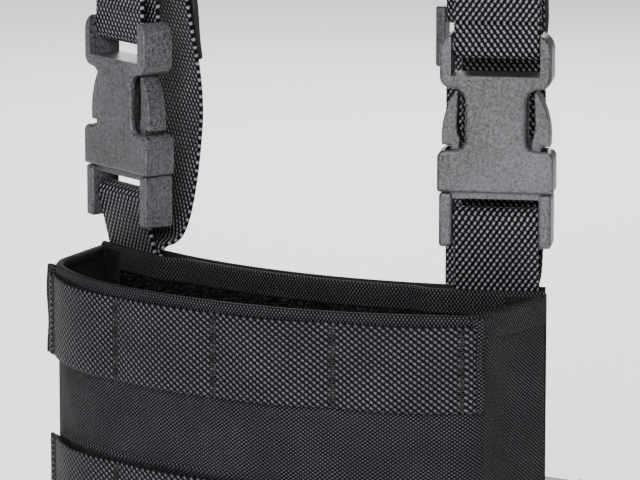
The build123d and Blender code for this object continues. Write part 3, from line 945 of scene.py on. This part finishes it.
@dataclass
class LadderRows:
    """Three rows of webbing across the pouch front, held by bartacks."""

    finish: Wardrobe
    count: int = 3
    tack_pitch: float = 38.0
    tack_width: float = 2.3
    zigs: int = 34                 # stitches in one bartack
    margin: float = 0.9            # from its ends to the webbing's edges
    puff: float = 1.2              # how far the webbing stands out between two bartacks

    def radius(self, arc: float) -> float:
        """Middle radius of the webbing, drawn in at each bartack and puffed between them."""
        phase = (arc / self.tack_pitch) % 1.0
        lift = self.puff * math.sin(math.pi * phase) ** 0.7
        if abs(arc) > 2 * self.tack_pitch:
            lift = 0.7 * smoothstep(76.6, 77.6, abs(arc))
        return FRONT_RADIUS + WEB / 2 + lift

    def point(self, arc: float, radius: float, drop: float) -> Vector:
        """Point on a row by arc length, radius and distance below the panel's top."""
        at = front_point(arc, radius)
        at.z = PANEL_TOP - drop
        return at

    def build_row(self, row: int) -> None:
        """One length of webbing.

        Args:
            row: its place from the top, counted from zero.
        """
        top = ROW_DROP + row * ROW_PITCH

        def place(across: float, along: float) -> Vector:
            arc = along - FRONT_HALF_ARC
            if abs(across) > 0.499 * ROW_HEIGHT:
                across += math.copysign(0.13 * math.sin(2 * math.pi * along / 2.3), across)
            waver = 0.35 * noise.noise(Vector((arc / 30, row * 3.7, 0.4)))
            return self.point(arc, self.radius(arc), top + ROW_HEIGHT / 2 - across + waver)

        length = 2 * FRONT_HALF_ARC
        webbing = laid_grid(f"ladder_webbing_{row + 1}", ROW_HEIGHT, length, 10, 280, place)
        thicken(webbing, WEB)
        dress(webbing, self.finish.ladder, replaces=(f"ladder_row_{row + 1}",))

    def bartacks(self) -> list[Stitch]:
        """Close zigzag stitches at every bartack."""
        stitches = []
        for row in range(self.count):
            top = ROW_DROP + row * ROW_PITCH
            for column in range(-2, 3):
                arc = column * self.tack_pitch
                for i in range(self.zigs):
                    drop = top + self.margin + (ROW_HEIGHT - 2 * self.margin) * i / (self.zigs - 1)
                    middle = self.point(arc, self.radius(arc) + WEB / 2 + 0.12, drop)
                    out = Vector((middle.x, middle.y - FRONT_CENTRE_Y, 0)).normalized()
                    lean = 0.32 if i % 2 else -0.32
                    along = Vector((-out.y, out.x, lean))
                    stitches.append(Stitch(middle, along, out, self.tack_width))
        return stitches

    def build(self) -> None:
        """Builds the rows and their bartacks."""
        for row in range(self.count):
            self.build_row(row)
        tacks = sewn("bartack_zigzags", self.bartacks(), 0.62)
        dress(tacks, self.finish.thread, replaces=("ladder_bartacks",))


# ---------------------------------------------------------------- straps

# (up, out) control points in a front strap's frame, from the top down
TAIL_BULGE = ((108, -2.6), (79, -7.6), (50, -13.6), (30, -12.0), (12, -8.6), (4.2, -4.5))
FLAP_LINE = ((148.0, -5.0), (124, -4.2), (108, -5.2), (79, -10.1), (60, -14.2))


@dataclass
class FrontStrap:
    """Webbing between the panel and the shoulder pad on one side."""

    finish: Wardrobe
    side: Side
    rise: float                    # housing's lower edge above the panel's top edge
    turn: float = 22.7             # how far the strap faces outwards, degrees
    across_x: float = 63.0
    front_y: float = -102.0
    plug_bar: float = -8.5
    housing_bar: float = 43.0
    standoff: float = 6.0
    wrap: float = 2.9
    lock_wrap: float = 2.2
    lock_bar: float = 131.0
    run_top: float = 126.0
    seam_out: float = 4.4
    bar_cover: float = 7.5         # length of run that moves with the housing
    seam_depth: float = 15.0       # how far the straps reach into the panel's seam
    tab_top: float = 152.0
    travel: float = 31.0           # how far the housing slides off the plug

    @property
    def frame(self) -> StrapFrame:
        """The strap's local frame."""
        turn, sign = math.radians(self.turn), self.side.value
        return StrapFrame(Vector((self.across_x * sign, self.front_y, PANEL_TOP)),
                          Vector((math.cos(turn), sign * math.sin(turn), 0)), UP,
                          Vector((sign * math.sin(turn), -math.cos(turn), 0)))

    def lay(self, name: str, line: Sequence[tuple[float, float]], node: str | None,
            body: str = "root") -> bpy.types.Object:
        """Webbing along a line in the strap's frame.

        Args:
            name: the piece's name after the side.
            line: points (up, out).
            node: frame node that it stands for, if any, after the side.
            body: the body that it rides on.

        Returns:
            The webbing.
        """
        label = self.side.label
        nodes = (f"{label}_{node}",) if node else ()
        return lay_strap(self.finish, f"{label}_{name}", self.frame.course(line), nodes, body)

    def build_lower(self) -> None:
        """Strap sewn into the panel and folded round the plug's bar."""
        bar = (self.rise + self.plug_bar, self.standoff)
        merge = bar[0] - 9.0
        run_out = self.standoff + self.wrap
        merge_out = self.seam_out + (run_out - self.seam_out) * merge / bar[0] - WEB - 0.1
        line = hairpin(bar, self.wrap, (0.0, self.seam_out), (merge, merge_out))
        self.lay("plug_strap", [(-self.seam_depth, self.seam_out), *line], "lower_strap")

    def build_run(self) -> None:
        """Doubled run from the housing's bar up to the ladder lock, whose loop moves with the housing."""
        label = self.side.label
        bar = (self.rise + self.housing_bar, self.standoff)
        cut = bar[0] + self.bar_cover
        out, inner = self.standoff + self.wrap, self.standoff - self.wrap
        loop = hairpin(bar, self.wrap, (cut, out), (cut, inner), over=False)
        self.lay("run_loop", loop, "buckle_run", f"{label}_housing")
        for name, level in (("run_outer", out), ("run_inner", inner)):
            leg = self.lay(name, [(cut, level), (self.run_top, level)], None)
            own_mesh(leg)

    def build_tail(self) -> None:
        """Third length: through the ladder lock, behind the buckle, and into the panel's seam."""
        lock_out = self.standoff - self.wrap - self.lock_wrap
        tail_in = lock_out - self.lock_wrap
        tail_seam = self.seam_out - WEB - 0.1
        turn = hairpin((self.lock_bar, lock_out), self.lock_wrap, (self.run_top, self.standoff - self.wrap),
                       (self.lock_bar - 4.0, tail_in))
        hang = eased([(self.lock_bar - 4.0, tail_in), *TAIL_BULGE, (3.6, tail_seam - 1.1),
                      (-1.0, tail_seam), (-self.seam_depth, tail_seam)])
        self.lay("long_tail", [*turn, *hang[1:]], "strap_tail")
        top_bar = (self.lock_bar + 12.5, lock_out)
        tab = hairpin(top_bar, self.lock_wrap, (self.tab_top, lock_out + self.lock_wrap),
                      (self.tab_top, lock_out - self.lock_wrap), over=False)
        self.lay("lock_loop", tab, "lock_tab")

    def build_flap(self) -> None:
        """Smooth strip behind the long tail, which tapers to its end."""
        course = self.frame.course(eased(FLAP_LINE))

        def place(across: float, along: float) -> Vector:
            point, side, _ = course.at(along)
            taper = 1 - 0.22 * smoothstep(course.length - 22, course.length, along)
            return point + side * across * taper

        flap = laid_grid(f"{self.side.label}_chafe_strip", WEBBING + 2.0, course.length, 10, 80, place)
        thicken(flap, 2.3, 0.8)
        dress(flap, self.finish.neoprene, replaces=(f"{self.side.label}_chafe_flap",))

    def build(self) -> None:
        """Builds the strap's pieces."""
        self.build_lower()
        self.build_run()
        self.build_tail()
        self.build_flap()


def narrowing(end: float) -> float:
    """Share of the shoulder pad's full width at a distance from its nearer end."""
    return 1 - 0.16 * (1 - smoothstep(0.0, 12.0, end))


@dataclass
class Shoulder:
    """Webbing and padded band over one shoulder, and the rear strap down to the belt."""

    finish: Wardrobe
    side: Side
    base: float = -99.0
    crest: float = 8.7
    crest_x: float = 70.0
    rear_turn: float = 5.6
    rear_x: float = 64.65
    rear_y: float = 112.55
    rear_out: float = 5.2          # outer and inner legs of the rear webbing, out from its frame
    rear_in: float = 0.8
    drop_bar: float = -177.5       # heights of the two bars of the rear ladder lock
    strap_bar: float = -190.0
    drop_sewn_z: float = -151.5
    strap_tail_z: float = -300.0
    strap_sewn_z: float = -369.0
    pad_first: float = 15.0        # the pad's ends, as angles round the shoulder from the front
    pad_last: float = 160.0
    pad_width: float = 50.0
    pad_thick: float = 7.6
    quilt_line: float = 17.0       # quilting from the pad's middle
    seam_line: float = 10.9        # stitches that hold the webbing, from its middle
    front: FrontStrap | None = None

    @property
    def rear_frame(self) -> StrapFrame:
        """The rear strap's local frame, with heights from the origin."""
        turn, sign = math.radians(self.rear_turn), self.side.value
        return StrapFrame(Vector((self.rear_x * sign, self.rear_y, 0)),
                          Vector((-math.cos(turn), sign * math.sin(turn), 0)), UP,
                          Vector((sign * math.sin(turn), math.cos(turn), 0)))

    def station(self, theta: float) -> tuple[Vector, Vector]:
        """The webbing's middle line round the shoulder.

        Args:
            theta: degrees round from the front, where 90 is the crest.

        Returns:
            The point, and the direction out of the webbing's face.
        """
        sign = self.side.value
        front, rear = self.front.frame, self.rear_frame
        start = front.point(0, 0, self.front.standoff + self.front.wrap)
        end = rear.point(0, 0, self.rear_out)
        near = start if theta <= 90 else end
        facing = front.out.x if theta <= 90 else rear.out.x
        turn = math.radians(theta)
        blend = math.sin(turn) ** 2
        point = Vector((near.x + (sign * self.crest_x - near.x) * blend, -abs(near.y) * math.cos(turn),
                        self.base + (self.crest - self.base) * math.sin(turn)))
        tilt = facing + (sign * 0.12 - facing) * blend
        level = math.sqrt(1 - tilt * tilt)
        return point, Vector((tilt, -math.cos(turn) * level, math.sin(turn) * level))

    def course(self, first: float, last: float, inwards: float = 0.0, steps: int = 72) -> Course:
        """Course round the shoulder between two angles, moved inwards from the webbing's middle."""
        points, across = [], []
        for i in range(steps + 1):
            theta = first + (last - first) * i / steps
            point, normal = self.station(theta)
            ahead = self.station(min(theta + 0.5, 180.0))[0]
            behind = self.station(max(theta - 0.5, 0.0))[0]
            points.append(point - normal * inwards)
            across.append(normal.cross(ahead - behind).normalized() * -1)
        return Course(points, across)

    def build_pad(self) -> None:
        """Padded band: pack cloth above, knitted mesh below, crowned, with pinched edges."""
        label = self.side.label
        middle = WEB / 2 + 0.1 + self.pad_thick / 2
        course = self.course(self.pad_first, self.pad_last, middle)
        around = 44
        half = self.pad_width / 2

        def place(across: float, along: float) -> Vector:
            angle = 2 * math.pi * (across + 0.5)
            reach = half * math.copysign(abs(math.cos(angle)) ** 0.55, math.cos(angle))
            end = min(along, course.length - along)
            plump = 0.22 + 0.78 * smoothstep(-1.0, 14.0, end)
            share = abs(reach) / half
            crown = (1 - share ** 4) ** 0.5 if share < 1 else 0.0
            lines = 1 - 0.18 * math.exp(-((abs(reach) - self.quilt_line) / 1.3) ** 2)
            height = math.copysign(self.pad_thick / 2, math.sin(angle)) * (0.16 + 0.84 * crown) * plump
            if abs(math.sin(angle)) < 1e-6 or end < 0.1:
                height = 0.0
            point, side, out = course.at(along)
            return point + side * reach * narrowing(end) + out * (height * lines)

        pad = laid_grid(f"{label}_shoulder_cushion", 1.0, course.length, around, 120, place)
        for corner in pad.data.uv_layers.active.data:
            corner.uv = (corner.uv.x * (2 * self.pad_width + 12), corner.uv.y)
        close_tube(pad, 60)
        dress(pad, self.finish.cloth,
              replaces=(f"{label}_shoulder_pad", f"{label}_pad_mesh"))
        pad.data.materials.append(self.finish.mesh)
        for face in pad.data.polygons:
            inner = face.normal.dot(face.center - Vector((self.side.value * 0.07, 0, -0.1))) < 0
            face.material_index = 1 if inner else 0
        self.build_pad_trim(course)

    def build_pad_trim(self, course: Course) -> None:
        """Binding along the pad's long edges and the stitches that hold it and the webbing.

        Args:
            course: the pad's middle line.
        """
        label = self.side.label
        marks = [course.length * i / 90 for i in range(91)]
        stitches = []
        for sign in (1, -1):
            edge, inward = [], []
            for mark in marks:
                point, side, _ = course.at(mark)
                narrow = narrowing(min(mark, course.length - mark))
                edge.append(point + side * (sign * (self.pad_width / 2 - 0.3) * narrow))
                inward.append(side * -sign)
            tape = folded_tape(f"{label}_pad_binding_{'outer' if sign > 0 else 'inner'}",
                               Course(edge, inward), 6.0, 6.0, 1.7)
            dress(tape, self.finish.tape)
            for mark in (3.3 * i for i in range(1, int(course.length / 3.3))):
                point, side, out = course.at(mark)
                along = side.cross(out)
                middle = point + side * sign * self.seam_line + out * (self.pad_thick / 2 + WEB + 0.25)
                stitches.append(Stitch(middle, along, out, 2.5))
        dress(sewn(f"{label}_pad_stitching", stitches, 0.55), self.finish.thread)

    def build_rear(self) -> None:
        """Rear drop with its loop on the ladder lock, and the strap from there to the belt."""
        label = self.side.label
        wrap, middle = self.front.lock_wrap, self.rear_out - self.front.lock_wrap
        drop = hairpin((self.drop_bar, middle), wrap, (self.base - 0.1, self.rear_out),
                       (self.drop_sewn_z, self.rear_in), over=False)
        strap = hairpin((self.strap_bar, middle), wrap, (self.strap_tail_z, self.rear_out),
                        (self.strap_sewn_z, self.rear_in))
        for node, line in (("rear_drop", drop), ("rear_strap", strap)):
            course = self.rear_frame.course(line)
            lay_strap(self.finish, f"{label}_{node}_webbing", course, (f"{label}_{node}",))

    def build(self) -> None:
        """Builds the shoulder's pieces."""
        label = self.side.label
        lay_strap(self.finish, f"{label}_shoulder_band", self.course(0.0, 180.0),
                  (f"{label}_shoulder_webbing",))
        self.build_pad()
        self.build_rear()


@dataclass
class Belt:
    """Waist belt in three lengths."""

    finish: Wardrobe
    top: float = -345.0
    sewn_length: float = 17.0
    straight: float = 30.0
    side_radius: float = 105.0
    buckle_x: float = -27.5
    wrap: float = 2.9

    def flat_course(self, line: Sequence[Vector]) -> Course:
        """Course on edge at the belt's middle height."""
        return Course([Vector((p.x, p.y, self.top - WEBBING / 2)) for p in line], UP)

    def side_line(self) -> list[Vector]:
        """Belt line on the wearer's left, from inside the panel's edge to the straight back."""
        radius = 163.9
        line = [polar(PANEL_CENTRE_Y, radius, PANEL_HALF_ARC - self.sewn_length * (1 - i / 8), PANEL_RADIUS)
                for i in range(9)]
        heading = PANEL_HALF_ARC / PANEL_RADIUS
        leave = line[-1] + Vector((math.cos(heading), math.sin(heading), 0)) * self.straight
        centre = leave + Vector((-math.sin(heading), math.cos(heading), 0)) * self.side_radius
        sweep = math.pi - heading
        line += [centre + Vector((math.sin(a), -math.cos(a), 0)) * self.side_radius
                 for a in (heading + sweep * i / 80 for i in range(81))]
        return line

    def build(self) -> None:
        """Builds the belt's three lengths."""
        left = self.side_line()
        back = left[-1]
        outer_y, sewn_y = back.y + 2 * self.wrap, back.y + WEB + 0.1
        housing_x, plug_x = self.buckle_x + 43.0, self.buckle_x - 8.5

        def around(x: float, sign: int) -> list[Vector]:
            return [Vector((x - sign * self.wrap * math.sin(a), back.y + self.wrap * (1 - math.cos(a)), 0))
                    for a in (math.pi * i / 14 for i in range(15))]

        def landing(points: Sequence[tuple[float, float]]) -> list[Vector]:
            return [Vector((x, y, 0)) for x, y in eased(points)]

        lay_strap(self.finish, "belt_left_webbing", self.flat_course(left), ("belt_left",))
        end = [back, *around(housing_x, 1),
               *landing([(housing_x + 0.5, outer_y), (housing_x + 12, outer_y), (housing_x + 23, sewn_y),
                         (back.x - 4, sewn_y)])]
        piece = lay_strap(self.finish, "belt_end_webbing", self.flat_course(end), ("belt_end",))
        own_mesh(piece)
        right = [Vector((-p.x, p.y, 0)) for p in left]
        right += around(plug_x, -1)
        right += landing([(plug_x - 0.5, outer_y), (plug_x - 4, outer_y), (plug_x - 11, sewn_y)])
        lay_strap(self.finish, "belt_right_webbing", self.flat_course(right), ("belt_right",))


@dataclass
class CrossStrap:
    """Strap across the upper back between the shoulder pads."""

    finish: Wardrobe
    shoulder: Shoulder
    theta: float = 142.0
    sag: float = 2.0

    def build(self) -> None:
        """Builds the strap where the frame has it."""
        low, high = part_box("cross_strap")
        point, normal = self.shoulder.station(self.theta)
        seat = point - normal * 3.3
        level = Vector((0, normal.y, normal.z)).normalized()
        across = Vector((1, 0, 0)).cross(level)
        span = (high.x - low.x) / MM
        line = []
        for i in range(41):
            share = i / 40
            dip = self.sag * 4 * share * (1 - share)
            line.append(Vector((low.x / MM + span * share, seat.y, seat.z)) - across * dip
                        * math.copysign(1, across.z))
        lay_strap(self.finish, "upper_back_strap", Course(line, across), ("cross_strap",))


@dataclass
class MouldedParts:
    """Buckles and ladder locks, whose shapes are the frame's own."""

    finish: Wardrobe

    def build(self) -> None:
        """Gives every moulded node its finish."""
        for name, node in sorted(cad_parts.items()):
            if "buckle_" in name and "run" not in name or name.endswith("_lock"):
                node.data.materials.clear()
                node.data.materials.append(self.finish.acetal)
                log.info("%s: moulded acetal", name)


# ---------------------------------------------------------------- studio

# name, azimuth and elevation in degrees, distance and size in metres, power in watts
LIGHTS = (("key", 22.0, 26.0, 1.25, 0.5, 26.0),
          ("left_edge", -86.0, 18.0, 1.4, 0.5, 1.6),
          ("right_edge", 118.0, 22.0, 1.4, 0.5, 2.4),
          ("low_front", 10.0, -2.0, 1.1, 0.2, 3.0),
          ("top", 20.0, 80.0, 1.2, 0.5, 8.0),
          ("back", 205.0, 26.0, 1.6, 0.7, 16.0))


@dataclass
class Studio:
    """Pale floor, soft lights and the camera."""

    azimuth: float = 31.3          # the camera's place round the part, degrees
    elevation: float = 10.7
    distance: float = 1400.0
    lens: float = 259.0
    pivot: tuple[float, float, float] = (0.0, -110.0, -225.0)
    aim_right: float = 4.8
    aim_up: float = 10.4

    def add_light(self, name: str, azimuth: float, elevation: float, distance: float, size: float,
                  power: float) -> None:
        """Square soft light that faces the pivot.

        Args:
            name: the light's name.
            azimuth: its place round the part, degrees, as the camera's.
            elevation: degrees above level.
            distance: metres from the pivot.
            size: the square's side in metres.
            power: watts.
        """
        data = bpy.data.lights.new(name, "AREA")
        data.size = size
        data.energy = power
        light = bpy.data.objects.new(name, data)
        bpy.context.scene.collection.objects.link(light)
        back = direction(azimuth, elevation)
        light.location = Vector(self.pivot) * MM + back * distance
        light.rotation_mode = "QUATERNION"
        light.rotation_quaternion = (-back).to_track_quat("-Z", "Y")

    def build(self) -> None:
        """Builds the floor, the world, the lights and the camera."""
        low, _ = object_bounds()
        deselect()
        bpy.ops.mesh.primitive_plane_add(size=60.0, location=(0, 0, low.z - 0.012))
        floor = bpy.context.active_object
        floor.name = "studio_floor"
        bpy.ops.object.transform_apply(location=True, rotation=True, scale=True)
        material, tree = new_material("painted_board")
        where = add_node(tree, "TexCoord").outputs["Object"]
        cloud = add_node(tree, "TexNoise", {"Vector": where, "Scale": 0.8, "Detail": 2.0})
        colour = add_node(tree, "ValToRGB", {0: cloud.outputs["Fac"]},
                          ((0.3, "fbfbfc"), (0.7, "fdfdfd")))
        shader = add_node(tree, "BsdfPrincipled",
                          {"Base Color": colour, "Roughness": 0.8,
                           "Emission Color": srgb("ffffff"), "Emission Strength": 0.9})
        add_node(tree, "OutputMaterial", {"Surface": shader})
        floor.data.materials.append(material)
        floor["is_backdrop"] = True

        world = bpy.data.worlds.new("studio")
        world.use_nodes = True
        world.node_tree.nodes["Background"].inputs["Color"].default_value = srgb("f2f4f7")
        world.node_tree.nodes["Background"].inputs["Strength"].default_value = 0.12
        bpy.context.scene.world = world
        for light in LIGHTS:
            self.add_light(*light)

        data = bpy.data.cameras.new("camera")
        data.lens = self.lens
        data.sensor_width = 36.0
        data.clip_start, data.clip_end = 0.05, 30.0
        camera = bpy.data.objects.new("camera", data)
        bpy.context.scene.collection.objects.link(camera)
        back = direction(self.azimuth, self.elevation)
        right = UP.cross(back).normalized()
        up = back.cross(right)
        aim = Vector(self.pivot) + right * self.aim_right + up * self.aim_up
        camera.location = (aim + back * self.distance) * MM
        camera.rotation_mode = "QUATERNION"
        camera.rotation_quaternion = (-back).to_track_quat("-Z", "Y")
        bpy.context.scene.camera = camera


def direction(azimuth: float, elevation: float) -> Vector:
    """Unit vector from the part towards a viewer, where azimuth 0 is in front."""
    a, e = math.radians(azimuth), math.radians(elevation)
    return Vector((math.sin(a) * math.cos(e), -math.cos(a) * math.cos(e), math.sin(e)))


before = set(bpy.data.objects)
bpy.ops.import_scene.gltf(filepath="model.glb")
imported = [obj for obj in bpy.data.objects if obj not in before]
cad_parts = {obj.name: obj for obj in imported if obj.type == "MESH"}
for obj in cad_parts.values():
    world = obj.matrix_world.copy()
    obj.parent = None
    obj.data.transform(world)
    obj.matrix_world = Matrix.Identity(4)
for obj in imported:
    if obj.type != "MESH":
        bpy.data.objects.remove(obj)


def main() -> None:
    """Builds every piece round the frame, then the studio."""
    logging.basicConfig(level=logging.INFO, format="%(message)s")
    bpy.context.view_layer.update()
    finish = Wardrobe()
    Panel(finish).build()
    Pouch(finish).build()
    LadderRows(finish).build()
    shoulders = {}
    for side, rise in ((Side.LEFT, 31.5), (Side.RIGHT, 26.5)):
        front = FrontStrap(finish, side, rise)
        front.build()
        shoulders[side] = Shoulder(finish, side, front=front)
        shoulders[side].build()
    Belt(finish).build()
    CrossStrap(finish, shoulders[Side.LEFT]).build()
    MouldedParts(finish).build()
    Studio().build()


if __name__ == "__main__":
    main()
